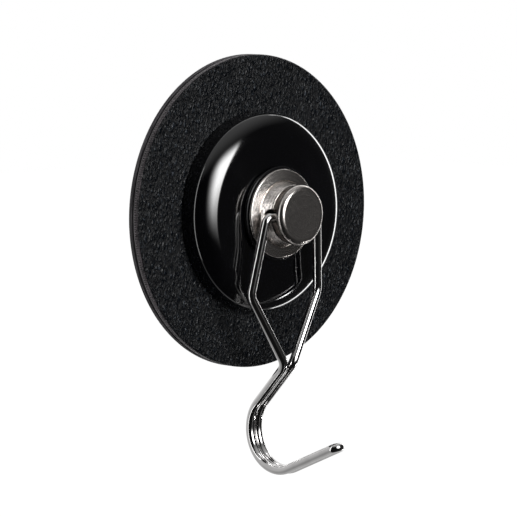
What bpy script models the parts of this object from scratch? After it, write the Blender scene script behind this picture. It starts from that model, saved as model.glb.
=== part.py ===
# Magnetic hook: a leather-faced disc carries a pot magnet under a domed cover, a post turns
# in the middle of it, and a bent wire hook swings from a hole across the post.
#
# Every piece is drawn around the post's axis. Its height is counted outward from the wall,
# and the empty "wall_axis" turns that axis to face -Y, with +Z up and the origin at the
# middle of the face that sits on the wall.

import bpy
import bmesh
import numpy as np
from math import acos, atan2, ceil, cos, pi, radians, sin, tan
from mathutils import Matrix

mm = 0.001

# Gaps
seat_gap = 0.3 * mm
turning_gap = 0.3 * mm
weld_distance = 0.001 * mm

# How finely round pieces are cut
disc_sides = 72
cover_sides = 64
post_sides = 48
inner_sides = 40
hole_sides = 32
round_step = radians(32)
round_length = 1.6 * mm
round_side_share = 0.95
hook_step = radians(9)
sharp_angle = radians(32)

# Disc, from the wall outward: pad, core sheet and leather
disc_radius = 40 * mm
pad_thickness = 1.1 * mm
pad_edge_round = 0.2 * mm
core_thickness = 0.35 * mm
core_setback = 0.3 * mm
leather_thickness = 1.55 * mm
leather_edge_round = 0.55 * mm
leather_back_round = 0.15 * mm

# Post, a single turned piece
stem_radius = 4 * mm
stem_room = 0.9 * mm
stem_tail = 0.6 * mm
stem_chamfer = 0.3 * mm
groove_depth = 0.8 * mm
flange_radius = 11.3 * mm
flange_thickness = 1 * mm
flange_edge_round = 0.75 * mm
shoulder_root_radius = 8.35 * mm
shoulder_front_radius = 7.4 * mm
shoulder_length = 3.2 * mm
shoulder_edge_round = 0.35 * mm
neck_radius = 5.6 * mm
neck_length = 1.85 * mm
neck_fillet = 0.4 * mm
head_radius = 7.65 * mm
head_thickness = 1.8 * mm
head_edge_round = 1.45 * mm
cross_hole_radius = 1.75 * mm
cross_hole_rise = 2.7 * mm

# What holds the post from behind, and the washer that it turns on
clip_thickness = 0.8 * mm
clip_width = 2.1 * mm
clip_mouth_angle = radians(50)
thrust_washer_thickness = 0.6 * mm
thrust_washer_width = 2.2 * mm
bush_wall = 0.9 * mm
bush_flange_width = 1.3 * mm
bush_flange_thickness = 0.8 * mm
swivel_washer_radius = 11.9 * mm
swivel_washer_thickness = 0.9 * mm
swivel_washer_round = 0.2 * mm

# Pot magnet
cup_wall = 2 * mm
cup_base_thickness = 2 * mm
cup_edge_round = 0.8 * mm
cup_inner_round = 0.4 * mm
cup_side_room = 2.1 * mm
magnet_recess = 0.3 * mm
magnet_edge_round = 0.3 * mm
magnet_bore_room = 0.9 * mm

# Domed cover, with a boss round the bush and ribs that bear on the cup
cover_radius = 25.2 * mm
cover_wall = 1.6 * mm
cover_foot_flare = 0.4 * mm
cover_rim_round = 0.4 * mm
cover_rise = 3.5 * mm
cover_band_width = 2.5 * mm
cover_band_rise = 2.75 * mm
cover_shoulder_round = 8.4 * mm
cover_crown_margin = 2.6 * mm
boss_wall = 1.6 * mm
rib_depth = 1.75 * mm
rib_thickness = 1.2 * mm
rib_count = 6

# Wire hook, sized from its pivot line in the cross hole
wire_radius = 1.15 * mm
stub_length = 4 * mm
stub_bend = 1.6 * mm
leg_side_gap = 0.1 * mm
loop_half_width = 11.8 * mm
loop_drop = 19.9 * mm
loop_lean = 2.7 * mm
loop_bend = 4 * mm
waist_below_loop = 18.2 * mm
waist_lean = 1 * mm
waist_bend = 4 * mm
pair_gap = 0.3 * mm
hook_radius = 9.9 * mm
hook_below_waist = 17.3 * mm
hook_wall_room = 1.85 * mm
hook_rise_angle = radians(23.6)
hook_tip_length = 16.9 * mm

# Heights of the disc's layers
core_back = pad_thickness + seat_gap
leather_back = core_back + core_thickness + seat_gap
leather_front = leather_back + leather_thickness

# Heights behind the cup's base, from the end of the stem outward
stem_end = pad_thickness + stem_room
groove_back = stem_end + stem_tail
clip_back = groove_back + seat_gap
clip_front = clip_back + clip_thickness
groove_front = clip_front + seat_gap
thrust_washer_back = groove_front
thrust_washer_front = thrust_washer_back + thrust_washer_thickness
bush_flange_back = thrust_washer_front + seat_gap
bush_flange_front = bush_flange_back + bush_flange_thickness
cup_rim = pad_thickness + seat_gap
cup_base_back = bush_flange_front + seat_gap
cup_base_front = cup_base_back + cup_base_thickness

# Radii round the stem
groove_radius = stem_radius - groove_depth
clip_bore = groove_radius + seat_gap
clip_radius = clip_bore + clip_width
stem_bore = stem_radius + turning_gap
bush_radius = stem_bore + bush_wall
bush_flange_radius = bush_radius + bush_flange_width
bush_hole = bush_radius + seat_gap
boss_radius = bush_hole + boss_wall
thrust_washer_radius = stem_bore + thrust_washer_width
magnet_bore = max(clip_radius, thrust_washer_radius, bush_flange_radius) + magnet_bore_room

# The cup under its cover, and the hole that it needs in the disc
cup_radius = cover_radius - cover_wall - cup_side_room
cup_inner_radius = cup_radius - cup_wall
disc_hole = cup_radius + seat_gap
magnet_radius = cup_inner_radius - seat_gap

# The cover rises from its rim over a steep band to a wide rounded shoulder, and from there over
# a nearly level ring to the flat crown. Its boss and ribs reach back to the cup.
crown_radius = swivel_washer_radius + cover_crown_margin
boss_back = cup_base_front + seat_gap
cover_crown = boss_back + rib_depth + cover_wall
cover_rim = cover_crown - cover_rise
cover_foot = leather_front + seat_gap
cover_foot_radius = cover_radius + cover_foot_flare
cover_shoulder_radius = cover_radius - cover_band_width
cover_shoulder = cover_rim + cover_band_rise
cover_ring_slope = (cover_crown - cover_shoulder) / (cover_shoulder_radius - crown_radius)
rib_reach = cup_radius - 2 * cup_edge_round

# Heights of the post in front of the cover
swivel_washer_back = cover_crown + seat_gap
swivel_washer_front = swivel_washer_back + swivel_washer_thickness
flange_back = swivel_washer_front + seat_gap
flange_front = flange_back + flange_thickness
shoulder_front = flange_front + shoulder_length
head_back = shoulder_front + neck_length
head_front = head_back + head_thickness
cross_hole_height = flange_front + cross_hole_rise

# The wire's stubs lie on the bottom of the cross hole
pivot_drop = cross_hole_radius - wire_radius - seat_gap
shoulder_taper = (shoulder_root_radius - shoulder_front_radius) / shoulder_length
shoulder_at_hole = shoulder_root_radius - shoulder_taper * cross_hole_rise
leg_top_reach = shoulder_at_hole + leg_side_gap + wire_radius
pair_reach = wire_radius + pair_gap / 2
waist_drop = loop_drop + waist_below_loop
hook_drop = waist_drop + hook_below_waist
hook_centre_height = hook_wall_room + wire_radius + hook_radius - cross_hole_height


def rounded(corners, closed=False):
    """Points along a run of corners, each (point, bend radius), with arcs at the bends.

    A bend is no larger than the shorter of its two sides has room for.
    """
    points = []
    for i, (corner, bend) in enumerate(corners):
        here = np.array(corner, dtype=float)
        at_end = not closed and i in (0, len(corners) - 1)
        if bend == 0 or at_end:
            points.append(here)
            continue
        before = np.array(corners[i - 1][0]) - here
        after = np.array(corners[(i + 1) % len(corners)][0]) - here
        room = round_side_share * min(np.linalg.norm(before), np.linalg.norm(after))
        before = before / np.linalg.norm(before)
        after = after / np.linalg.norm(after)
        half = acos(np.dot(before, after)) / 2
        bend = min(bend, room * tan(half))
        inward = (before + after) / np.linalg.norm(before + after)
        centre = here + inward * bend / sin(half)
        start = here + before * bend / tan(half) - centre
        end = here + after * bend / tan(half) - centre
        sweep = pi - 2 * half
        steps = max(2, ceil(sweep / round_step), ceil(sweep * bend / round_length))
        for k in range(steps + 1):
            part = k / steps
            spoke = sin((1 - part) * sweep) * start + sin(part * sweep) * end
            points.append(centre + spoke / sin(sweep))
    return points


def finish(name, colour, roughness, metallic):
    material = bpy.data.materials.new(name)
    material.use_nodes = True
    shader = material.node_tree.nodes["Principled BSDF"]
    shader.inputs["Base Color"].default_value = (*colour, 1)
    shader.inputs["Roughness"].default_value = roughness
    shader.inputs["Metallic"].default_value = metallic
    material.diffuse_color = (*colour, 1)
    return material


def add_object(name, data, parent, material=None):
    item = bpy.data.objects.new(name, data)
    bpy.context.scene.collection.objects.link(item)
    item.parent = parent
    if material:
        data.materials.append(material)
    return item


def mesh_from(name, bm):
    bmesh.ops.recalc_face_normals(bm, faces=bm.faces)
    mesh = bpy.data.meshes.new(name)
    bm.to_mesh(mesh)
    bm.free()
    mesh.shade_smooth()
    mesh.set_sharp_from_angle(angle=sharp_angle)
    return mesh


def turned(name, corners, sides, parent, material, solid=False):
    """A piece turned round the axis. A solid one has an outline that ends on the axis."""
    bm = bmesh.new()
    outline = rounded(corners, closed=not solid)
    verts = [bm.verts.new((radius, 0, height)) for radius, height in outline]
    edges = [bm.edges.new(pair) for pair in zip(verts, verts[1:])]
    if not solid:
        edges.append(bm.edges.new((verts[-1], verts[0])))
    bmesh.ops.spin(bm, geom=verts + edges, axis=(0, 0, 1), angle=2 * pi, steps=sides, use_merge=True)
    bmesh.ops.remove_doubles(bm, verts=bm.verts, dist=weld_distance)
    return add_object(name, mesh_from(name, bm), parent, material)


def slab(bm, outline, thickness):
    """Add a flat plate to bm: an outline at one face, pushed through the thickness."""
    face = bm.faces.new([bm.verts.new(point) for point in outline])
    face.normal_update()
    pushed = bmesh.ops.extrude_face_region(bm, geom=[face])
    moved = [item for item in pushed["geom"] if isinstance(item, bmesh.types.BMVert)]
    bmesh.ops.translate(bm, verts=moved, vec=thickness)
    return list(face.verts) + moved


def use_boolean(item, other, operation):
    other.hide_render = True
    other.display_type = "WIRE"
    modifier = item.modifiers.new(other.name, "BOOLEAN")
    modifier.operation = operation
    modifier.solver = "EXACT"
    modifier.object = other


def clear_scene():
    for item in list(bpy.data.objects):
        bpy.data.objects.remove(item, do_unlink=True)


def make_rear_pad(parent):
    turned("rear_pad", [
        ((0, 0), 0),
        ((disc_radius, 0), pad_edge_round),
        ((disc_radius, pad_thickness), pad_edge_round),
        ((0, pad_thickness), 0),
    ], disc_sides, parent, finish("grey_rubber", (0.05, 0.045, 0.05), 0.7, 0), solid=True)


def make_core_sheet(parent):
    edge = disc_radius - core_setback
    turned("core_sheet", [
        ((edge, core_back), 0),
        ((edge, core_back + core_thickness), 0),
        ((disc_hole, core_back + core_thickness), 0),
        ((disc_hole, core_back), 0),
    ], disc_sides, parent, finish("grey_sheet", (0.2, 0.19, 0.2), 0.5, 0))


def make_leather_facing(parent):
    turned("leather_facing", [
        ((disc_radius, leather_back), leather_back_round),
        ((disc_radius, leather_front), leather_edge_round),
        ((disc_hole, leather_front), 0),
        ((disc_hole, leather_back), 0),
    ], disc_sides, parent, finish("black_leather", (0.012, 0.015, 0.018), 0.55, 0))


def make_magnet_cup(parent):
    turned("magnet_cup", [
        ((cup_radius, cup_rim), 0),
        ((cup_radius, cup_base_front), cup_edge_round),
        ((bush_hole, cup_base_front), 0),
        ((bush_hole, cup_base_back), 0),
        ((cup_inner_radius, cup_base_back), cup_inner_round),
        ((cup_inner_radius, cup_rim), 0),
    ], cover_sides, parent, finish("plated_steel", (0.55, 0.55, 0.56), 0.3, 1))


def make_ring_magnet(parent):
    back = cup_rim + magnet_recess
    front = cup_base_back - seat_gap
    turned("ring_magnet", [
        ((magnet_radius, back), magnet_edge_round),
        ((magnet_radius, front), magnet_edge_round),
        ((magnet_bore, front), 0),
        ((magnet_bore, back), 0),
    ], inner_sides, parent, finish("ferrite", (0.06, 0.06, 0.065), 0.6, 0))


def set_in(before, corner, after):
    """A corner of the cover's outside, set in by the wall from both of the sides it joins."""
    normals = []
    for side in (corner - before, after - corner):
        along = side / np.linalg.norm(side)
        normals.append(np.array([along[1], -along[0]]))
    return corner - cover_wall * sum(normals) / (1 + np.dot(*normals))


def make_dome_cover(parent):
    foot = np.array([cover_foot_radius, cover_foot])
    rim = np.array([cover_radius, cover_rim])
    shoulder = np.array([cover_shoulder_radius, cover_shoulder])
    crown = np.array([crown_radius, cover_crown])
    gloss_black = finish("gloss_black", (0.004, 0.004, 0.006), 0.12, 0)
    cover = turned("dome_cover", [
        (foot, 0),
        (rim, cover_rim_round),
        (shoulder, cover_shoulder_round),
        (crown, 0),
        ((bush_hole, cover_crown), 0),
        ((bush_hole, boss_back), 0),
        ((boss_radius, boss_back), 0),
        ((boss_radius, cover_crown - cover_wall), 0),
        ((crown_radius, cover_crown - cover_wall), 0),
        (set_in(rim, shoulder, crown), cover_shoulder_round - cover_wall),
        (set_in(foot, rim, shoulder), 0),
        ((cover_foot_radius - cover_wall, cover_foot), 0),
    ], cover_sides, parent, gloss_black)
    use_boolean(cover, make_ribs(parent), "UNION")


def make_ribs(parent):
    """Ribs under the cover's ring, from inside the boss's wall out to the cup's edge."""
    inner_end = boss_radius - boss_wall / 2
    top = cover_crown - cover_wall / 2
    outline = [
        (inner_end, 0, boss_back),
        (inner_end, 0, top),
        (crown_radius, 0, top),
        (rib_reach, 0, top - cover_ring_slope * (rib_reach - crown_radius)),
        (rib_reach, 0, boss_back),
    ]
    bm = bmesh.new()
    for k in range(rib_count):
        verts = slab(bm, outline, (0, rib_thickness, 0))
        bmesh.ops.translate(bm, verts=verts, vec=(0, -rib_thickness / 2, 0))
        turn = Matrix.Rotation(2 * pi * k / rib_count, 3, "Z")
        bmesh.ops.rotate(bm, verts=verts, matrix=turn)
    return add_object("cover_ribs", mesh_from("cover_ribs", bm), parent)


def make_bearing_bush(parent):
    turned("bearing_bush", [
        ((bush_flange_radius, bush_flange_back), 0),
        ((bush_flange_radius, bush_flange_front), 0),
        ((bush_radius, bush_flange_front), 0),
        ((bush_radius, cover_crown), 0),
        ((stem_bore, cover_crown), 0),
        ((stem_bore, bush_flange_back), 0),
    ], inner_sides, parent, finish("brass", (0.7, 0.52, 0.25), 0.35, 1))


def make_thrust_washer(parent):
    turned("thrust_washer", [
        ((thrust_washer_radius, thrust_washer_back), 0),
        ((thrust_washer_radius, thrust_washer_front), 0),
        ((stem_bore, thrust_washer_front), 0),
        ((stem_bore, thrust_washer_back), 0),
    ], inner_sides, parent, finish("bright_steel", (0.6, 0.6, 0.6), 0.3, 1))


def make_swivel_washer(parent):
    turned("swivel_washer", [
        ((swivel_washer_radius, swivel_washer_back), swivel_washer_round),
        ((swivel_washer_radius, swivel_washer_front), swivel_washer_round),
        ((stem_bore, swivel_washer_front), 0),
        ((stem_bore, swivel_washer_back), 0),
    ], post_sides, parent, finish("black_nylon", (0.01, 0.01, 0.011), 0.35, 0))


def make_retaining_clip(parent):
    """An open ring that is pushed onto the stem from the side."""
    half_mouth = clip_mouth_angle / 2
    angles = np.linspace(half_mouth, 2 * pi - half_mouth, inner_sides)
    outer = [(clip_radius * cos(a), clip_radius * sin(a), clip_back) for a in angles]
    inner = [(clip_bore * cos(a), clip_bore * sin(a), clip_back) for a in angles]
    bm = bmesh.new()
    slab(bm, outer + inner[::-1], (0, 0, clip_thickness))
    mesh = mesh_from("retaining_clip", bm)
    add_object("retaining_clip", mesh, parent, finish("spring_steel", (0.3, 0.3, 0.32), 0.35, 1))


def make_swivel_post(parent):
    nickel = finish("satin_nickel", (0.5, 0.47, 0.44), 0.28, 1)
    post = turned("swivel_post", [
        ((0, stem_end), 0),
        ((stem_radius - stem_chamfer, stem_end), 0),
        ((stem_radius, stem_end + stem_chamfer), 0),
        ((stem_radius, groove_back), 0),
        ((groove_radius, groove_back), 0),
        ((groove_radius, groove_front), 0),
        ((stem_radius, groove_front), 0),
        ((stem_radius, flange_back), 0),
        ((flange_radius, flange_back), 0),
        ((flange_radius, flange_front), flange_edge_round),
        ((shoulder_root_radius, flange_front), 0),
        ((shoulder_front_radius, shoulder_front), shoulder_edge_round),
        ((neck_radius, shoulder_front), 0),
        ((neck_radius, head_back), neck_fillet),
        ((head_radius, head_back), 0),
        ((head_radius, head_front), head_edge_round),
        ((0, head_front), 0),
    ], post_sides, parent, nickel, solid=True)
    bm = bmesh.new()
    bmesh.ops.create_cone(bm, cap_ends=True, segments=hole_sides, radius1=cross_hole_radius,
                          radius2=cross_hole_radius, depth=2 * flange_radius)
    drill = add_object("cross_hole", mesh_from("cross_hole", bm), parent)
    drill.rotation_euler = (0, pi / 2, 0)
    drill.location = (0, 0, cross_hole_height)
    use_boolean(post, drill, "DIFFERENCE")


def hook_route():
    """Half of the wire's middle line, from its stub to the tip, seen from the pivot line.

    Its points are (to the side, up, outward from the wall).
    """
    waist = np.array([-waist_drop, -waist_lean])
    centre = np.array([-hook_drop, hook_centre_height])
    to_waist = waist - centre
    start = atan2(to_waist[0], to_waist[1]) + acos(hook_radius / np.linalg.norm(to_waist))
    end = hook_rise_angle - pi / 2 + 2 * pi
    bowl = [centre + hook_radius * np.array([sin(a), cos(a)])
            for a in np.linspace(start, end, ceil((end - start) / hook_step) + 1)]
    upward = np.array([sin(hook_rise_angle), cos(hook_rise_angle)])
    tip = bowl[-1] + upward * hook_tip_length
    corners = [
        ((shoulder_at_hole - stub_length, 0, 0), 0),
        ((leg_top_reach, 0, 0), stub_bend),
        ((loop_half_width, -loop_drop, -loop_lean), loop_bend),
        ((pair_reach, *waist), waist_bend),
    ]
    corners += [((pair_reach, *point), 0) for point in bowl]
    route = rounded(corners)
    for turn in np.linspace(0, pi / 2, 5):
        point = tip + upward * pair_reach * sin(turn)
        route.append(np.array([pair_reach * cos(turn), *point]))
    return route


def make_hook_bail(parent):
    half = hook_route()
    other_half = [point * (-1, 1, 1) for point in half[-2::-1]]
    curve = bpy.data.curves.new("hook_bail", "CURVE")
    curve.dimensions = "3D"
    curve.bevel_depth = wire_radius
    curve.bevel_resolution = 4
    curve.use_fill_caps = True
    spline = curve.splines.new("POLY")
    route = half + other_half
    spline.points.add(len(route) - 1)
    for point, place in zip(spline.points, route):
        point.co = (*place, 1)
    add_object("hook_bail", curve, parent, finish("chrome", (0.8, 0.8, 0.8), 0.05, 1))


clear_scene()

wall_axis = add_object("wall_axis", None, None)
wall_axis.rotation_euler = (pi / 2, 0, 0)
swivel_axis = add_object("swivel_axis", None, wall_axis)
bail_pivot = add_object("bail_pivot", None, swivel_axis)
bail_pivot.location = (0, -pivot_drop, cross_hole_height)

make_rear_pad(wall_axis)
make_core_sheet(wall_axis)
make_leather_facing(wall_axis)
make_magnet_cup(wall_axis)
make_ring_magnet(wall_axis)
make_dome_cover(wall_axis)
make_bearing_bush(wall_axis)
make_thrust_washer(wall_axis)
make_swivel_washer(wall_axis)
make_retaining_clip(swivel_axis)
make_swivel_post(swivel_axis)
make_hook_bail(bail_pivot)
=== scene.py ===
import bpy
import bmesh
from math import acos, atan2, ceil, cos, hypot, pi, radians, sin, tan
from mathutils import Matrix, Vector


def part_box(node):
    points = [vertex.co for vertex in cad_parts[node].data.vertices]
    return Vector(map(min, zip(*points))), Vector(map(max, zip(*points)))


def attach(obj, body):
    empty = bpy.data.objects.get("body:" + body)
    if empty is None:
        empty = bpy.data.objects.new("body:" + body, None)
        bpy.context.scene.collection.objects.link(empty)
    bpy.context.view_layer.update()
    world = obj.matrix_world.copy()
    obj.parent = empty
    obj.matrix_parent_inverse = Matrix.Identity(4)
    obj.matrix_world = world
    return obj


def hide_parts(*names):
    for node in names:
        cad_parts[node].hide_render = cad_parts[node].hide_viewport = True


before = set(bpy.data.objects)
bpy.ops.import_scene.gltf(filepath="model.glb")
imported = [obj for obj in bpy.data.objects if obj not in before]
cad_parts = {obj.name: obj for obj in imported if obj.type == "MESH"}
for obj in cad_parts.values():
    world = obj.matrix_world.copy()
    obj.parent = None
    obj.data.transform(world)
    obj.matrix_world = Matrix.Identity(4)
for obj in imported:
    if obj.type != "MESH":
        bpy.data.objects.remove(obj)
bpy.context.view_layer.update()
mm = 0.001
print("frame loaded")

# the photograph's view: where the camera stands round the middle of the disc's back
photoView = {
    "azimuth": -43.8,
    "elevation": 5.6,
    "distance": 800 * mm,
    "imageSize": 517,
    "pixelsPerMm": 3.904,
    "originPixel": (245.8, 210.4),
    "sensor": 36,
    "clipStart": 10 * mm,
}


def directionTo(azimuth, elevation):
    a, e = radians(azimuth), radians(elevation)
    return Vector((sin(a) * cos(e), -cos(a) * cos(e), sin(e)))


def addCamera():
    view = photoView
    turn = radians(view["azimuth"])
    back = directionTo(view["azimuth"], view["elevation"])
    side = Vector((cos(turn), sin(turn), 0))
    up = back.cross(side)
    middle = view["imageSize"] / 2
    right = (view["originPixel"][0] - middle) / view["pixelsPerMm"] * mm
    below = (view["originPixel"][1] - middle) / view["pixelsPerMm"] * mm
    place = back * view["distance"] - side * right + up * below
    facing = Matrix((side, up, back)).transposed().to_euler()
    bpy.ops.object.camera_add(location=place, rotation=facing)
    camera = bpy.context.object
    camera.name = "photoCamera"
    focalPixels = view["pixelsPerMm"] * view["distance"] / mm
    camera.data.sensor_width = view["sensor"]
    camera.data.lens = view["sensor"] * focalPixels / view["imageSize"]
    camera.data.clip_start = view["clipStart"]
    bpy.context.scene.camera = camera


addCamera()
print("camera set")

turning = {
    "pickDistance": 0.002 * mm,  # how near its ring a point has to lie to be picked
    "mergeDistance": 0.0005 * mm,
    "bevelSteps": 4,
    "bevelStep": 0.15 * mm,  # a wide bevel gets one more step for each of these
}


def selectOnly(piece):
    bpy.ops.object.select_all(action="DESELECT")
    piece.select_set(True)
    bpy.context.view_layer.objects.active = piece


def selectRing(piece, radius, height):
    near = turning["pickDistance"]
    mesh = bmesh.from_edit_mesh(piece.data)
    bpy.ops.mesh.select_all(action="DESELECT")
    for vert in mesh.verts:
        if abs(hypot(vert.co.x, vert.co.z) - radius) < near and abs(vert.co.y + height) < near:
            vert.select = True
    mesh.select_flush(True)
    bmesh.update_edit_mesh(piece.data)


# a piece turned round the post's axis: each ring has its radius, its height off the wall
# and the width of its bevel, and a piece that isn't capped closes back on its first ring
def turnPiece(name, rings, sides, capped=False):
    bpy.ops.object.select_all(action="DESELECT")
    radius, height, bevel = rings[0]
    bpy.ops.mesh.primitive_circle_add(vertices=sides, radius=radius, location=(0, -height, 0),
                                      rotation=(pi / 2, 0, 0))
    piece = bpy.context.object
    piece.name = name
    piece.data.name = name
    bpy.ops.object.transform_apply(location=True, rotation=True, scale=True)
    bpy.ops.object.mode_set(mode="EDIT")
    bpy.ops.mesh.select_all(action="SELECT")
    around = rings[1:] if capped else rings[1:] + rings[:1]
    for nextRadius, nextHeight, bevel in around:
        rise = (0, height - nextHeight, 0)
        bpy.ops.mesh.extrude_region_move(TRANSFORM_OT_translate={"value": rise})
        grow = nextRadius / radius
        bpy.ops.transform.resize(value=(grow, 1, grow), center_override=(0, -nextHeight, 0))
        radius, height = nextRadius, nextHeight
    if capped:
        bpy.ops.mesh.edge_face_add()
        selectRing(piece, rings[0][0], rings[0][1])
        bpy.ops.mesh.edge_face_add()
    bpy.ops.mesh.select_all(action="SELECT")
    bpy.ops.mesh.remove_doubles(threshold=turning["mergeDistance"])
    bpy.ops.mesh.normals_make_consistent(inside=False)
    for radius, height, bevel in rings:
        if bevel:
            selectRing(piece, radius, height)
            steps = turning["bevelSteps"] + int(bevel / turning["bevelStep"])
            bpy.ops.mesh.bevel(offset=bevel, segments=steps, profile=0.5, affect="EDGES",
                               clamp_overlap=True)
    bpy.ops.object.mode_set(mode="OBJECT")
    return piece


def finishPiece(piece, body, nodes, material, angle=30):
    selectOnly(piece)
    bpy.ops.object.shade_smooth_by_angle(angle=radians(angle))
    evenOut = piece.modifiers.new("evenOut", "WEIGHTED_NORMAL")
    evenOut.keep_sharp = True
    bpy.ops.object.modifier_apply(modifier=evenOut.name)
    piece.data.materials.clear()
    piece.data.materials.append(material)
    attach(piece, body)
    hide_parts(*nodes)
    print("made", piece.name)


def heights(node):
    low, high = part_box(node)
    return -high[1], -low[1]


# small node helpers: a socket takes a plain value or another node's output
def feed(tree, value, socket):
    if isinstance(value, bpy.types.NodeSocket):
        tree.links.new(value, socket)
    else:
        socket.default_value = value


def addNode(tree, kind, **settings):
    node = tree.nodes.new(kind)
    for label, value in settings.items():
        setattr(node, label, value)
    return node


def calc(tree, operation, *values):
    node = addNode(tree, "ShaderNodeMath", operation=operation)
    for value, socket in zip(values, node.inputs):
        feed(tree, value, socket)
    return node.outputs[0]


def mapRange(tree, value, low, high, toLow=0, toHigh=1):
    node = addNode(tree, "ShaderNodeMapRange", interpolation_type="SMOOTHSTEP")
    feed(tree, value, node.inputs["Value"])
    feed(tree, low, node.inputs["From Min"])
    feed(tree, high, node.inputs["From Max"])
    feed(tree, toLow, node.inputs["To Min"])
    feed(tree, toHigh, node.inputs["To Max"])
    return node.outputs["Result"]


def inMillimetres(tree):
    place = addNode(tree, "ShaderNodeTexCoord")
    scale = addNode(tree, "ShaderNodeMapping")
    scale.inputs["Scale"].default_value = (1 / mm, 1 / mm, 1 / mm)
    tree.links.new(place.outputs["Object"], scale.inputs["Vector"])
    return scale.outputs["Vector"]


def noise(tree, place, scale, detail=2, roughness=0.5, output="Fac"):
    node = addNode(tree, "ShaderNodeTexNoise")
    feed(tree, place, node.inputs["Vector"])
    feed(tree, scale, node.inputs["Scale"])
    feed(tree, detail, node.inputs["Detail"])
    feed(tree, roughness, node.inputs["Roughness"])
    return node.outputs[output]


def splitAxes(tree, place):
    split = addNode(tree, "ShaderNodeSeparateXYZ")
    tree.links.new(place, split.inputs[0])
    return split.outputs["X"], split.outputs["Y"], split.outputs["Z"]


# distance from the post's axis, and the place along it
def axisDistance(tree, place):
    x, y, z = splitAxes(tree, place)
    squares = calc(tree, "MULTIPLY_ADD", z, z, calc(tree, "MULTIPLY", x, x))
    return calc(tree, "SQRT", squares), y


# node groups shared by several finishes
def newGroup(name, inputs, outputs):
    group = bpy.data.node_groups.new(name, "ShaderNodeTree")
    for label, value in inputs.items():
        socket = group.interface.new_socket(name=label, in_out="INPUT",
                                            socket_type="NodeSocketFloat")
        socket.default_value = value
    for label in outputs:
        group.interface.new_socket(name=label, in_out="OUTPUT", socket_type="NodeSocketFloat")
    start = group.nodes.new("NodeGroupInput")
    end = group.nodes.new("NodeGroupOutput")
    return group, start, end


# leather pebbles drawn out a little along the hide, with creases between them and painted highlight
# flecks on their crests
pebbles = {
    "lengthwise": 0.58,
    "warpScale": 0.9,
    "warp": 1.4,
    "swellScale": 0.5,
    "swell": 0.9,
    "wrinkleScale": 1.6,
    "wrinkleRoughness": 0.55,
    "wrinkle": 1.5,
    "paintedGlint": (0.54, 0.66),
}


def makePebbleGrain():
    look = pebbles
    group, start, end = newGroup("pebbleGrain", {"Cell Size": 1.0, "Crease": 0.3},
                                 ("Height", "Crease", "Glint"))
    stretch = addNode(group, "ShaderNodeMapping")
    stretch.inputs["Scale"].default_value = (1, 1, look["lengthwise"])
    group.links.new(inMillimetres(group), stretch.inputs["Vector"])
    drawn = stretch.outputs["Vector"]
    warp = addNode(group, "ShaderNodeVectorMath", operation="MULTIPLY_ADD")
    group.links.new(noise(group, drawn, look["warpScale"], output="Color"), warp.inputs[0])
    warp.inputs[1].default_value = (look["warp"], look["warp"], look["warp"])
    group.links.new(drawn, warp.inputs[2])
    warped = warp.outputs[0]
    cells = addNode(group, "ShaderNodeTexVoronoi", feature="DISTANCE_TO_EDGE")
    group.links.new(warped, cells.inputs["Vector"])
    cellScale = calc(group, "DIVIDE", 1.0, start.outputs["Cell Size"])
    group.links.new(cellScale, cells.inputs["Scale"])
    crown = mapRange(group, cells.outputs["Distance"], 0, start.outputs["Crease"])
    swell = noise(group, drawn, look["swellScale"])
    wrinkle = noise(group, warped, look["wrinkleScale"], 2, look["wrinkleRoughness"])
    raised = calc(group, "MULTIPLY_ADD", swell, look["swell"], crown)
    height = calc(group, "MULTIPLY_ADD", wrinkle, look["wrinkle"], raised)
    # painted highlight mask: crests where the wrinkle noise runs high, standing in for glints of
    # light
    paintedGlint = mapRange(group, wrinkle, *look["paintedGlint"])
    group.links.new(height, end.inputs["Height"])
    group.links.new(calc(group, "SUBTRACT", 1.0, crown), end.inputs["Crease"])
    group.links.new(calc(group, "MULTIPLY", paintedGlint, crown), end.inputs["Glint"])
    return group


# the layers and loose fibres of a sheet that was cut round: lines along its edge, threads across
cutMarks = {
    "fibreRoughness": 0.6,
    "nickScale": 1.7,
    "nick": (0.56, 0.64),
    "unevenScale": 0.8,
    "uneven": 9.0,
    "thread": (-0.2, 0.9),
}


def makeCutEdge():
    look = cutMarks
    inputs = {"Fibre Length": 8.0, "Fibre Width": 0.22, "Threads Round": 480.0}
    group, start, end = newGroup("cutEdge", inputs, ("Fibre", "Nick", "Threads"))
    place = inMillimetres(group)
    x, y, z = splitAxes(group, place)
    drawn = addNode(group, "ShaderNodeCombineXYZ")
    for label, value, size in (("X", x, "Fibre Length"), ("Y", y, "Fibre Width"),
                               ("Z", z, "Fibre Length")):
        scaled = calc(group, "DIVIDE", value, start.outputs[size])
        group.links.new(scaled, drawn.inputs[label])
    fibre = noise(group, drawn.outputs[0], 1, 3, look["fibreRoughness"])
    nick = mapRange(group, noise(group, place, look["nickScale"]), *look["nick"])
    uneven = calc(group, "MULTIPLY", noise(group, place, look["unevenScale"]), look["uneven"])
    turn = calc(group, "ARCTAN2", x, z)
    wave = calc(group, "MULTIPLY_ADD", turn, start.outputs["Threads Round"], uneven)
    threads = mapRange(group, calc(group, "SINE", wave), *look["thread"])
    group.links.new(fibre, end.inputs["Fibre"])
    group.links.new(nick, end.inputs["Nick"])
    group.links.new(threads, end.inputs["Threads"])
    return group


# faint smears and specks that dull a polished surface
handlingMarks = {"smear": (0.42, 0.68), "specks": (0.66, 0.74)}


def makeHandling():
    look = handlingMarks
    group, start, end = newGroup("handling", {"Smear Size": 0.08, "Speck Size": 2.0},
                                 ("Smear", "Specks"))
    place = inMillimetres(group)
    smear = noise(group, place, start.outputs["Smear Size"], 4)
    specks = noise(group, place, start.outputs["Speck Size"])
    group.links.new(mapRange(group, smear, *look["smear"]), end.inputs["Smear"])
    group.links.new(mapRange(group, specks, *look["specks"]), end.inputs["Specks"])
    return group


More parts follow.
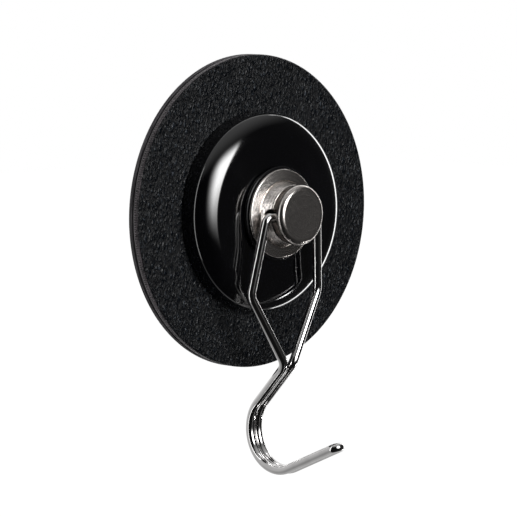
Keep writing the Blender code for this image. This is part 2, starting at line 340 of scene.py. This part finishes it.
# fine lines left by turning, round the post's axis and along its faces, under a blasted grain
latheMarks = {
    "waverScale": 0.6,
    "alongShare": 0.9,
    "grainScale": 2.3,
    "grainDetail": 4,
    "grainRoughness": 0.75,
    "grainHeight": 1.2,
    "lineShare": 0.35,
    "grainShare": 0.65,
}


def makeTurnMarks():
    look = latheMarks
    group, start, end = newGroup("turnMarks", {"Lines": 7.0, "Waver": 0.3},
                                 ("Height", "Tone", "Grain"))
    place = inMillimetres(group)
    radius, along = axisDistance(group, place)
    waver = noise(group, place, look["waverScale"])
    spread = calc(group, "MULTIPLY_ADD", waver, start.outputs["Waver"], radius)
    line = addNode(group, "ShaderNodeTexNoise", noise_dimensions="1D")
    line.inputs["Detail"].default_value = 3
    group.links.new(calc(group, "MULTIPLY_ADD", along, look["alongShare"], spread),
                    line.inputs["W"])
    group.links.new(start.outputs["Lines"], line.inputs["Scale"])
    lines = line.outputs["Fac"]
    grain = noise(group, place, look["grainScale"], look["grainDetail"], look["grainRoughness"])
    height = calc(group, "MULTIPLY_ADD", grain, look["grainHeight"], lines)
    blasted = calc(group, "MULTIPLY", grain, look["grainShare"])
    tone = calc(group, "MULTIPLY_ADD", lines, look["lineShare"], blasted)
    group.links.new(height, end.inputs["Height"])
    group.links.new(tone, end.inputs["Tone"])
    group.links.new(grain, end.inputs["Grain"])
    return group


pebbleGrain = makePebbleGrain()
cutEdge = makeCutEdge()
handling = makeHandling()
turnMarks = makeTurnMarks()
print("node groups made")


def newFinish(name):
    material = bpy.data.materials.new(name)
    material.use_nodes = True
    tree = material.node_tree
    return material, tree, tree.nodes["Principled BSDF"]


def useGroup(tree, group, **values):
    node = addNode(tree, "ShaderNodeGroup")
    node.node_tree = group
    for label, value in values.items():
        node.inputs[label].default_value = value
    return node.outputs


def mixColour(tree, factor, first, second):
    node = addNode(tree, "ShaderNodeMix", data_type="RGBA")
    tree.links.new(factor, node.inputs["Factor"])
    for socket, colour in ((node.inputs[6], first), (node.inputs[7], second)):
        feed(tree, (*colour, 1) if isinstance(colour, tuple) else colour, socket)
    return node.outputs[2]


def bumpInto(tree, shader, height, depth, strength=1.0):
    bump = addNode(tree, "ShaderNodeBump")
    bump.inputs["Strength"].default_value = strength
    bump.inputs["Distance"].default_value = depth
    tree.links.new(height, bump.inputs["Height"])
    tree.links.new(bump.outputs["Normal"], shader.inputs["Normal"])


# the leather layer: pebbled skin in front and round the edge, then foam, then a woven backing
# (depths and radii in millimetres)
leatherLook = {
    "top": (0.0016, 0.0024, 0.0038),
    "paintedCreaseShade": (0.0006, 0.0008, 0.0013),
    "paintedGlintColour": (0.032, 0.037, 0.044),
    "cellSize": 0.95,
    "creaseWidth": 0.34,
    "tintScale": 0.12,
    "tint": 0.35,
    "paler": 1.6,
    "cutLight": (0.13, 0.112, 0.122),
    "cutDark": (0.008, 0.007, 0.009),
    "thread": (0.25, 0.22, 0.235),
    "fibreLength": 5.0,
    "fibreWidth": 0.3,
    "threadsRound": 420.0,
    "threadInFoam": 0.12,
    "foam": (0.42, 0.68),
    "skinDepth": (3.3, 3.4),
    "backingDepth": (2.45, 2.55),
    "edgeRadius": (39.5, 39.9),
    "roughness": (0.22, 0.46),
    "specular": 0.24,
    "grainDepth": 0.17 * mm,
}


def makeLeatherFinish():
    look = leatherLook
    material, tree, shader = newFinish("pebbledLeather")
    place = inMillimetres(tree)
    grain = useGroup(tree, pebbleGrain,
                     **{"Cell Size": look["cellSize"], "Crease": look["creaseWidth"]})
    # painted shade: the creases between the pebbles are coloured darker than the pebble tops
    skin = mixColour(tree, grain["Crease"], look["top"], look["paintedCreaseShade"])
    paler = tuple(look["paler"] * value for value in look["top"])
    tint = calc(tree, "MULTIPLY", noise(tree, place, look["tintScale"], 3), look["tint"])
    skin = mixColour(tree, tint, skin, paler)
    # painted highlight: light flecks on the pebble crests stand in for glints of light
    skin = mixColour(tree, grain["Glint"], skin, look["paintedGlintColour"])
    layers = useGroup(tree, cutEdge, **{"Fibre Length": look["fibreLength"],
                                        "Fibre Width": look["fibreWidth"],
                                        "Threads Round": look["threadsRound"]})
    ribs = calc(tree, "MULTIPLY_ADD", layers["Threads"], look["threadInFoam"], layers["Fibre"])
    foam = mixColour(tree, mapRange(tree, ribs, *look["foam"]), look["cutDark"], look["cutLight"])
    foam = mixColour(tree, layers["Nick"], foam, look["cutDark"])
    backing = mixColour(tree, layers["Threads"], look["cutDark"], look["thread"])
    radius, along = axisDistance(tree, place)
    depth = calc(tree, "MULTIPLY", along, -1.0)
    cut = mixColour(tree, mapRange(tree, depth, *look["backingDepth"]), backing, foam)
    cut = mixColour(tree, mapRange(tree, depth, *look["skinDepth"]), cut, skin)
    atEdge = mapRange(tree, radius, *look["edgeRadius"])
    tree.links.new(mixColour(tree, atEdge, skin, cut), shader.inputs["Base Color"])
    rough = mapRange(tree, grain["Crease"], 0, 1, *look["roughness"])
    tree.links.new(rough, shader.inputs["Roughness"])
    shader.inputs["Specular IOR Level"].default_value = look["specular"]
    bumpInto(tree, shader, grain["Height"], look["grainDepth"])
    return material


# layers of board, rubber and ferrite: fibres along the cut edge, and a fine grain on the faces
layerLooks = {
    "padRubber": {
        "dark": (0.02, 0.018, 0.021), "light": (0.09, 0.084, 0.09),
        "roughness": 0.55, "fibreWidth": 0.3, "edgeRadius": 40,
    },
    "coreBoard": {
        "dark": (0.09, 0.085, 0.09), "light": (0.24, 0.225, 0.23),
        "roughness": 0.5, "fibreWidth": 0.2, "edgeRadius": 39.7,
    },
    "sinteredFerrite": {
        "dark": (0.03, 0.03, 0.033), "light": (0.06, 0.06, 0.065),
        "roughness": 0.6, "fibreWidth": 0.5, "edgeRadius": 19.2,
    },
}
layerGrain = {
    "edgeBand": (0.4, 0.1),
    "fibreLength": 8.0,
    "fibre": (0.38, 0.62),
    "grainScale": 2.2,
    "grainRoughness": 0.6,
    "grain": (0.35, 0.65),
    "grainTone": 0.4,
    "cloudScale": 0.12,
    "cloudTone": 0.35,
    "rougher": 0.15,
    "specular": 0.35,
    "depth": 0.05 * mm,
    "strength": 0.7,
}


def makeLayerFinish(name):
    look = {**layerGrain, **layerLooks[name]}
    material, tree, shader = newFinish(name)
    place = inMillimetres(tree)
    radius, along = axisDistance(tree, place)
    inner, outer = look["edgeBand"]
    atEdge = mapRange(tree, radius, look["edgeRadius"] - inner, look["edgeRadius"] - outer)
    layers = useGroup(tree, cutEdge, **{"Fibre Length": look["fibreLength"],
                                        "Fibre Width": look["fibreWidth"]})
    fibre = mapRange(tree, layers["Fibre"], *look["fibre"])
    grain = noise(tree, place, look["grainScale"], 3, look["grainRoughness"])
    cloud = noise(tree, place, look["cloudScale"], 3)
    speckle = calc(tree, "MULTIPLY", mapRange(tree, grain, *look["grain"]), look["grainTone"])
    face = calc(tree, "MULTIPLY_ADD", cloud, look["cloudTone"], speckle)
    away = calc(tree, "SUBTRACT", 1.0, atEdge)
    tone = calc(tree, "ADD", calc(tree, "MULTIPLY", atEdge, fibre),
                calc(tree, "MULTIPLY", away, face))
    tree.links.new(mixColour(tree, tone, look["dark"], look["light"]), shader.inputs["Base Color"])
    rough = mapRange(tree, tone, 0, 1, look["roughness"] + look["rougher"], look["roughness"])
    tree.links.new(rough, shader.inputs["Roughness"])
    shader.inputs["Specular IOR Level"].default_value = look["specular"]
    height = calc(tree, "ADD", calc(tree, "MULTIPLY", atEdge, layers["Fibre"]), grain)
    bumpInto(tree, shader, height, look["depth"], look["strength"])
    return material


# black plastic under a clear lacquer
coverLook = {
    "black": (0.0006, 0.0006, 0.001),
    "dusty": (0.0012, 0.0012, 0.0018),
    "smearSize": 0.07,
    "speckSize": 1.6,
    "roughness": (0.1, 0.14),
    "refraction": 1.6,
    "lacquer": (1, 0.9),
    "lacquerRoughness": 0.05,
    "lacquerRefraction": 1.5,
    "rippleScale": 0.35,
    "ripple": 0.008 * mm,
}


def makeGlossFinish():
    look = coverLook
    material, tree, shader = newFinish("glossBlack")
    wear = useGroup(tree, handling,
                    **{"Smear Size": look["smearSize"], "Speck Size": look["speckSize"]})
    colour = mixColour(tree, wear["Smear"], look["black"], look["dusty"])
    tree.links.new(colour, shader.inputs["Base Color"])
    rough = mapRange(tree, wear["Smear"], 0, 1, *look["roughness"])
    tree.links.new(rough, shader.inputs["Roughness"])
    shader.inputs["IOR"].default_value = look["refraction"]
    lacquer = mapRange(tree, wear["Specks"], 0, 1, *look["lacquer"])
    tree.links.new(lacquer, shader.inputs["Coat Weight"])
    shader.inputs["Coat Roughness"].default_value = look["lacquerRoughness"]
    shader.inputs["Coat IOR"].default_value = look["lacquerRefraction"]
    ripple = noise(tree, inMillimetres(tree), look["rippleScale"])
    bumpInto(tree, shader, ripple, look["ripple"])
    return material


nylonLook = {
    "dark": (0.0015, 0.0015, 0.002),
    "light": (0.004, 0.004, 0.0045),
    "grainScale": 4,
    "grain": (0.4, 0.6),
    "roughness": (0.14, 0.22),
    "depth": 0.01 * mm,
}


def makeNylonFinish():
    look = nylonLook
    material, tree, shader = newFinish("blackNylon")
    grain = noise(tree, inMillimetres(tree), look["grainScale"], 3)
    tree.links.new(mixColour(tree, grain, look["dark"], look["light"]),
                   shader.inputs["Base Color"])
    rough = mapRange(tree, grain, *look["grain"], *look["roughness"])
    tree.links.new(rough, shader.inputs["Roughness"])
    bumpInto(tree, shader, grain, look["depth"])
    return material


turnedLooks = {
    "satinNickel": {
        "light": (0.95, 0.9, 0.86), "dark": (0.45, 0.42, 0.4),
        "roughness": (0.16, 0.27), "lines": 5.0, "depth": 0.009 * mm,
    },
    "platedSteel": {
        "light": (0.55, 0.56, 0.58), "dark": (0.44, 0.45, 0.47),
        "roughness": (0.3, 0.42), "lines": 3.0, "depth": 0.006 * mm,
    },
    "turnedBrass": {
        "light": (0.72, 0.50, 0.20), "dark": (0.60, 0.41, 0.16),
        "roughness": (0.28, 0.38), "lines": 4.0, "depth": 0.006 * mm,
    },
}
turnedSpread = (0.4, 0.6)  # the part of the noise that takes up the whole change


def makeTurnedFinish(name):
    look = turnedLooks[name]
    material, tree, shader = newFinish(name)
    marks = useGroup(tree, turnMarks, Lines=look["lines"])
    tone = mapRange(tree, marks["Tone"], *turnedSpread)
    tree.links.new(mixColour(tree, tone, look["light"], look["dark"]), shader.inputs["Base Color"])
    shader.inputs["Metallic"].default_value = 1
    rough = mapRange(tree, marks["Grain"], *turnedSpread, *look["roughness"])
    tree.links.new(rough, shader.inputs["Roughness"])
    bumpInto(tree, shader, marks["Height"], look["depth"])
    return material


chromeLook = {
    "bright": (0.83, 0.82, 0.815),
    "smeared": (0.76, 0.75, 0.745),
    "smearSize": 0.3,
    "speckSize": 3.0,
    "roughness": (0.03, 0.07),
    "rippleScale": 0.6,
    "ripple": 0.012 * mm,
}


def makeChromeFinish():
    look = chromeLook
    material, tree, shader = newFinish("brightChrome")
    wear = useGroup(tree, handling,
                    **{"Smear Size": look["smearSize"], "Speck Size": look["speckSize"]})
    colour = mixColour(tree, wear["Smear"], look["bright"], look["smeared"])
    tree.links.new(colour, shader.inputs["Base Color"])
    shader.inputs["Metallic"].default_value = 1
    rough = mapRange(tree, wear["Smear"], 0, 1, *look["roughness"])
    tree.links.new(rough, shader.inputs["Roughness"])
    ripple = noise(tree, inMillimetres(tree), look["rippleScale"])
    bumpInto(tree, shader, ripple, look["ripple"])
    return material


leather = makeLeatherFinish()
padRubber = makeLayerFinish("padRubber")
coreBoard = makeLayerFinish("coreBoard")
glossBlack = makeGlossFinish()
blackNylon = makeNylonFinish()
satinNickel = makeTurnedFinish("satinNickel")
brightChrome = makeChromeFinish()
platedSteel = makeTurnedFinish("platedSteel")
sinteredFerrite = makeLayerFinish("sinteredFerrite")
turnedBrass = makeTurnedFinish("turnedBrass")
print("finishes made")

disc = {
    "sides": 256,
    "leatherRound": 0.5 * mm,
    "leatherBackRound": 0.15 * mm,
    "coreRound": 0.06 * mm,
    "padRound": 0.2 * mm,
    "cupHole": 21.8 * mm,  # the room for the magnet's pot, in the two front layers
}


def makeDisc():
    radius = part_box("leather_facing")[1][0]
    back, front = heights("leather_facing")
    piece = turnPiece("discLeather", [
        (radius, back, disc["leatherBackRound"]),
        (radius, front, disc["leatherRound"]),
        (disc["cupHole"], front, 0),
        (disc["cupHole"], back, 0),
    ], disc["sides"])
    finishPiece(piece, "base", ["leather_facing"], leather)
    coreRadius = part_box("core_sheet")[1][0]
    back, front = heights("core_sheet")
    piece = turnPiece("discCore", [
        (coreRadius, back, disc["coreRound"]),
        (coreRadius, front, disc["coreRound"]),
        (disc["cupHole"], front, 0),
        (disc["cupHole"], back, 0),
    ], disc["sides"])
    finishPiece(piece, "base", ["core_sheet"], coreBoard)
    back, front = heights("rear_pad")
    piece = turnPiece("discPad", [
        (radius, back, disc["padRound"]),
        (radius, front, disc["padRound"]),
    ], disc["sides"], capped=True)
    finishPiece(piece, "base", ["rear_pad"], padRubber)


# drops are from the crown
cover = {
    "sides": 192,
    "radius": 25.2 * mm,
    "rimDrop": 3.5 * mm,
    "rimRound": 0.75 * mm,
    "shoulderRadius": 22.7 * mm,
    "shoulderDrop": 0.75 * mm,
    "shoulderRound": 3.3 * mm,
    "flatRadius": 14.5 * mm,
    "flatRound": 1.5 * mm,
    "crownRadius": 12.2 * mm,
    "bore": 5.5 * mm,
    "wall": 1.4 * mm,
}


def makeCover():
    foot, crown = heights("dome_cover")
    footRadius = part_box("dome_cover")[1][0]
    rim = crown - cover["rimDrop"]
    shoulder = crown - cover["shoulderDrop"]
    wall = cover["wall"]
    piece = turnPiece("coverDome", [
        (footRadius, foot, 0),
        (cover["radius"], rim, cover["rimRound"]),
        (cover["shoulderRadius"], shoulder, cover["shoulderRound"]),
        (cover["flatRadius"], crown, cover["flatRound"]),
        (cover["crownRadius"], crown, 0),
        (cover["bore"], crown, 0),
        (cover["bore"], crown - wall, 0),
        (cover["crownRadius"], crown - wall, 0),
        (cover["shoulderRadius"], shoulder - wall, 0),
        (cover["radius"] - wall, rim - wall, 0),
        (footRadius - wall, foot, 0),
    ], cover["sides"])
    finishPiece(piece, "base", ["dome_cover"], glossBlack)


washer = {"sides": 160, "bore": 4.3 * mm, "round": 0.2 * mm}


def makeWasher():
    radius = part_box("swivel_washer")[1][0]
    back, front = heights("swivel_washer")
    piece = turnPiece("washerRing", [
        (radius, back, washer["round"]),
        (radius, front, washer["round"]),
        (washer["bore"], front, 0),
        (washer["bore"], back, 0),
    ], washer["sides"])
    finishPiece(piece, "base", ["swivel_washer"], blackNylon)


post = {
    "sides": 192,
    "stem": 4 * mm,
    "stemRound": 0.3 * mm,
    "clipGroove": 3.2 * mm,
    "clipGrooveBack": 0.6 * mm,
    "clipGrooveFront": 2 * mm,
    "washerGap": 0.3 * mm,
    "flangeThickness": 1 * mm,
    "flangeFall": 0.46 * mm,
    "flangeRound": 0.36 * mm,
    "flangeBackRound": 0.16 * mm,
    "rootGroove": 0.16 * mm,
    "rootGrooveRound": 0.05 * mm,
    "shoulderRoot": 8.35 * mm,
    "shoulderFront": 7.4 * mm,
    "shoulderLength": 3.2 * mm,
    "shoulderRound": 0.35 * mm,
    "neck": 5.6 * mm,
    "neckFillet": 0.35 * mm,
    "head": 7.65 * mm,
    "headThickness": 1.8 * mm,
    "headRound": 1.4 * mm,
    "headBackRound": 0.12 * mm,
    "hole": 1.75 * mm,
    "holeRise": 2.7 * mm,
    "holeSides": 96,
}


def makePost():
    stemEnd, headFront = heights("swivel_post")
    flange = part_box("swivel_post")[1][0]
    headBack = headFront - post["headThickness"]
    flangeBack = heights("swivel_washer")[1] + post["washerGap"]
    flangeFront = flangeBack + post["flangeThickness"]
    shoulderFront = flangeFront + post["shoulderLength"]
    root, groove = post["shoulderRoot"], post["rootGroove"]
    piece = turnPiece("postBody", [
        (post["stem"], stemEnd, post["stemRound"]),
        (post["stem"], stemEnd + post["clipGrooveBack"], 0),
        (post["clipGroove"], stemEnd + post["clipGrooveBack"], 0),
        (post["clipGroove"], stemEnd + post["clipGrooveFront"], 0),
        (post["stem"], stemEnd + post["clipGrooveFront"], 0),
        (post["stem"], flangeBack, 0),
        (flange, flangeBack, post["flangeBackRound"]),
        (flange, flangeFront - post["flangeFall"], post["flangeRound"]),
        (root + groove, flangeFront, post["rootGrooveRound"]),
        (root + groove / 2, flangeFront - groove, 0),
        (root, flangeFront, 0),
        (post["shoulderFront"], shoulderFront, post["shoulderRound"]),
        (post["neck"], shoulderFront, 0),
        (post["neck"], headBack, post["neckFillet"]),
        (post["head"], headBack, post["headBackRound"]),
        (post["head"], headFront, post["headRound"]),
    ], post["sides"], capped=True)
    holeHeight = flangeFront + post["holeRise"]
    bpy.ops.object.select_all(action="DESELECT")
    bpy.ops.mesh.primitive_cylinder_add(vertices=post["holeSides"], radius=post["hole"],
                                        depth=4 * post["head"], location=(0, -holeHeight, 0),
                                        rotation=(0, pi / 2, 0))
    drill = bpy.context.object
    selectOnly(piece)
    cut = piece.modifiers.new("crossHole", "BOOLEAN")
    cut.object = drill
    cut.operation = "DIFFERENCE"
    cut.solver = "EXACT"
    bpy.ops.object.modifier_apply(modifier=cut.name)
    bpy.data.objects.remove(drill)
    finishPiece(piece, "swivel", ["swivel_post"], satinNickel)
    return holeHeight


# the wire's middle line, measured from the middle of the cross hole: drops go down from it,
# leans go toward the wall, and both halves of the wire mirror each other
wire = {
    "radius": 1.15 * mm,
    "pivotDrop": 0.3 * mm,
    "stubStart": 3.548 * mm,
    "legTop": 8.798 * mm,
    "stubBend": 1.6 * mm,
    "loopHalfWidth": 11.8 * mm,
    "loopDrop": 19.9 * mm,
    "loopLean": 2.7 * mm,
    "loopBend": 4 * mm,
    "waistDrop": 38.1 * mm,
    "waistLean": 1 * mm,
    "waistBend": 4 * mm,
    "pairReach": 1.3 * mm,
    "hookRadius": 9.9 * mm,
    "hookDrop": 55.4 * mm,
    "wallRoom": 1.85 * mm,
    "hookRise": 23.6,
    "tipLength": 16.9 * mm,
    "tipSteps": 12,
    "bendStep": 1.5,
    "roundness": 16,
    "smoothAngle": 60,
}


# corners are (point, bend radius), and each bend becomes short steps along its arc
def bendRoute(corners):
    route = [Vector(corners[0][0])]
    for i in range(1, len(corners) - 1):
        here, bend = Vector(corners[i][0]), corners[i][1]
        if bend == 0:
            route.append(here)
            continue
        before = (Vector(corners[i - 1][0]) - here).normalized()
        after = (Vector(corners[i + 1][0]) - here).normalized()
        half = before.angle(after) / 2
        centre = here + (before + after).normalized() * bend / sin(half)
        start = here + before * bend / tan(half) - centre
        end = here + after * bend / tan(half) - centre
        sweep = pi - 2 * half
        steps = ceil(sweep / radians(wire["bendStep"]))
        for k in range(steps + 1):
            part = k / steps
            arm = (start * sin((1 - part) * sweep) + end * sin(part * sweep)) / sin(sweep)
            route.append(centre + arm)
    route.append(Vector(corners[-1][0]))
    return route


def wireRoute(holeHeight):
    reach, bendRadius = wire["pairReach"], wire["hookRadius"]
    waist = Vector((-wire["waistLean"], -wire["waistDrop"]))
    centre = Vector((wire["wallRoom"] + wire["radius"] + bendRadius - holeHeight,
                     -wire["hookDrop"]))
    toWaist = waist - centre
    start = atan2(toWaist.y, toWaist.x) + acos(bendRadius / toWaist.length)
    end = radians(270 + wire["hookRise"])
    steps = ceil((end - start) / radians(wire["bendStep"]))
    bowl = []
    for k in range(steps + 1):
        turn = start + (end - start) * k / steps
        bowl.append(centre + bendRadius * Vector((cos(turn), sin(turn))))
    rise = radians(wire["hookRise"])
    along = Vector((cos(rise), sin(rise)))
    tip = bowl[-1] + along * wire["tipLength"]
    corners = [
        ((wire["stubStart"], 0, 0), 0),
        ((wire["legTop"], 0, 0), wire["stubBend"]),
        ((wire["loopHalfWidth"], -wire["loopLean"], -wire["loopDrop"]), wire["loopBend"]),
        ((reach, waist.x, waist.y), wire["waistBend"]),
    ]
    corners += [((reach, point.x, point.y), 0) for point in bowl]
    half = bendRoute(corners)
    for k in range(wire["tipSteps"] + 1):
        turn = radians(90 * k / wire["tipSteps"])
        point = tip + along * reach * sin(turn)
        half.append(Vector((reach * cos(turn), point.x, point.y)))
    return half + [Vector((-p.x, p.y, p.z)) for p in reversed(half[:-1])]


def makeWire(holeHeight):
    route = wireRoute(holeHeight)
    bpy.ops.object.select_all(action="DESELECT")
    bpy.ops.curve.primitive_bezier_curve_add()
    piece = bpy.context.object
    piece.name = "wireHook"
    curve = piece.data
    curve.splines.clear()
    curve.dimensions = "3D"
    curve.bevel_depth = wire["radius"]
    curve.bevel_resolution = wire["roundness"]
    curve.use_fill_caps = True
    spline = curve.splines.new("POLY")
    spline.points.add(len(route) - 1)
    for point, place in zip(spline.points, route):
        point.co = (place.x, -holeHeight - place.y, place.z - wire["pivotDrop"], 1)
    selectOnly(piece)
    bpy.ops.object.convert(target="MESH")
    piece = bpy.context.object
    piece.data.name = "wireHook"
    finishPiece(piece, "bail", ["hook_bail"], brightChrome, wire["smoothAngle"])


makeDisc()
makeCover()
makeWasher()
makeWire(makePost())

# hidden pieces keep their CAD shape
hiddenFinishes = {
    "magnet_cup": platedSteel,
    "ring_magnet": sinteredFerrite,
    "bearing_bush": turnedBrass,
    "thrust_washer": platedSteel,
    "retaining_clip": platedSteel,
}
for node, material in hiddenFinishes.items():
    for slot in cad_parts[node].material_slots:
        slot.material = material
print("hidden pieces finished")

floorLook = {
    "drop": 350 * mm,
    "size": 8,
    "colour": (0.85, 0.85, 0.85, 1),
    "roughness": 0.9,
    "glow": 0.78,
}


def addFloor():
    look = floorLook
    bpy.ops.object.select_all(action="DESELECT")
    bpy.ops.mesh.primitive_plane_add(size=look["size"], location=(0, 0, -look["drop"]))
    floor = bpy.context.object
    floor.name = "paleFloor"
    material, tree, shader = newFinish("paleFloor")
    shader.inputs["Base Color"].default_value = look["colour"]
    shader.inputs["Roughness"].default_value = look["roughness"]
    shader.inputs["Specular IOR Level"].default_value = 0
    shader.inputs["Emission Color"].default_value = (1, 1, 1, 1)
    paths = addNode(tree, "ShaderNodeLightPath")
    glow = calc(tree, "MULTIPLY", paths.outputs["Is Camera Ray"], look["glow"])
    tree.links.new(glow, shader.inputs["Emission Strength"])
    floor.data.materials.append(material)
    floor.visible_glossy = False


# what polished pieces see around them: a white backdrop behind, a pale ceiling and a dark room
# in front. Each row is from, to along an axis, and the levels there
room = {
    "frontByX": (-0.3, 0.8, 0.006, 0.023),
    "backdropByX": (-0.6, 0.2, 0.5, 0.85),
    "backdropByY": (0.0, 0.25, 0, 1),
    "backdropByZ": (-0.9, 0.1, 0.5, 1),
    "ceilingByZ": (0.45, 0.95, 0, 0.4),
    "ambient": 0.3,
}


def addWorld():
    world = bpy.data.worlds.new("whiteRoom")
    bpy.context.scene.world = world
    world.use_nodes = True
    tree = world.node_tree
    background = tree.nodes["Background"]
    paths = addNode(tree, "ShaderNodeLightPath").outputs
    direction = addNode(tree, "ShaderNodeTexCoord")
    x, y, z = splitAxes(tree, direction.outputs["Generated"])
    front = mapRange(tree, x, *room["frontByX"])
    behind = calc(tree, "MULTIPLY", mapRange(tree, y, *room["backdropByY"]),
                  mapRange(tree, x, *room["backdropByX"]))
    behind = calc(tree, "MULTIPLY", behind, mapRange(tree, z, *room["backdropByZ"]))
    above = mapRange(tree, z, *room["ceilingByZ"])
    level = calc(tree, "MAXIMUM", behind, calc(tree, "MAXIMUM", above, front))
    seen = calc(tree, "MAXIMUM", paths["Is Camera Ray"], paths["Is Transmission Ray"])
    mirrored = calc(tree, "MULTIPLY", level, paths["Is Glossy Ray"])
    soft = calc(tree, "MULTIPLY", paths["Is Diffuse Ray"], room["ambient"])
    strength = calc(tree, "MAXIMUM", seen, calc(tree, "MAXIMUM", mirrored, soft))
    background.inputs["Color"].default_value = (1, 1, 1, 1)
    tree.links.new(strength, background.inputs["Strength"])


# soft lamps that look at the middle of the disc's back. Fades are shares of their width and height:
# left, right, bottom, top
lamps = {
    "frontBox": {"azimuth": -3, "elevation": 11, "distance": 700 * mm, "width": 653 * mm,
                 "height": 841 * mm, "power": 19, "fades": (0.59, 0.15, 0.56, 0.34)},
    "lowBox": {"azimuth": 63, "elevation": -33.5, "distance": 700 * mm, "width": 24 * mm,
               "height": 190 * mm, "power": 0.45, "fades": (0.2, 0.2, 0.4, 0.4)},
    "leftStrip": {"azimuth": -99, "elevation": 0, "distance": 600 * mm, "width": 90 * mm,
                  "height": 1400 * mm, "power": 1.0, "fades": (0.3, 0.3, 0.1, 0.1)},
    "rightStrip": {"azimuth": 99, "elevation": 0, "distance": 600 * mm, "width": 90 * mm,
                   "height": 1400 * mm, "power": 1.5, "fades": (0.3, 0.3, 0.1, 0.1)},
}


def addSoftbox(name, box):
    back = directionTo(box["azimuth"], box["elevation"])
    bpy.ops.object.light_add(type="AREA", location=back * box["distance"])
    lamp = bpy.context.object
    lamp.name = name
    lamp.rotation_euler = back.to_track_quat("Z", "Y").to_euler()
    lamp.visible_camera = False
    lamp.data.shape = "RECTANGLE"
    lamp.data.size = box["width"]
    lamp.data.size_y = box["height"]
    lamp.data.energy = box["power"]
    lamp.data.use_nodes = True
    tree = lamp.data.node_tree
    surface = addNode(tree, "ShaderNodeNewGeometry")
    x, y, z = splitAxes(tree, surface.outputs["Parametric"])
    left, right, bottom, top = box["fades"]
    across = calc(tree, "MULTIPLY", mapRange(tree, x, 0, left),
                  mapRange(tree, x, 1 - right, 1, 1, 0))
    upward = calc(tree, "MULTIPLY", mapRange(tree, y, 0, bottom),
                  mapRange(tree, y, 1 - top, 1, 1, 0))
    glow = calc(tree, "POWER", calc(tree, "MULTIPLY", across, upward), 2.0)
    tree.links.new(glow, tree.nodes["Emission"].inputs["Strength"])


addWorld()
addFloor()
for name, box in lamps.items():
    addSoftbox(name, box)
bpy.context.scene.view_settings.view_transform = "Standard"
print("studio set")
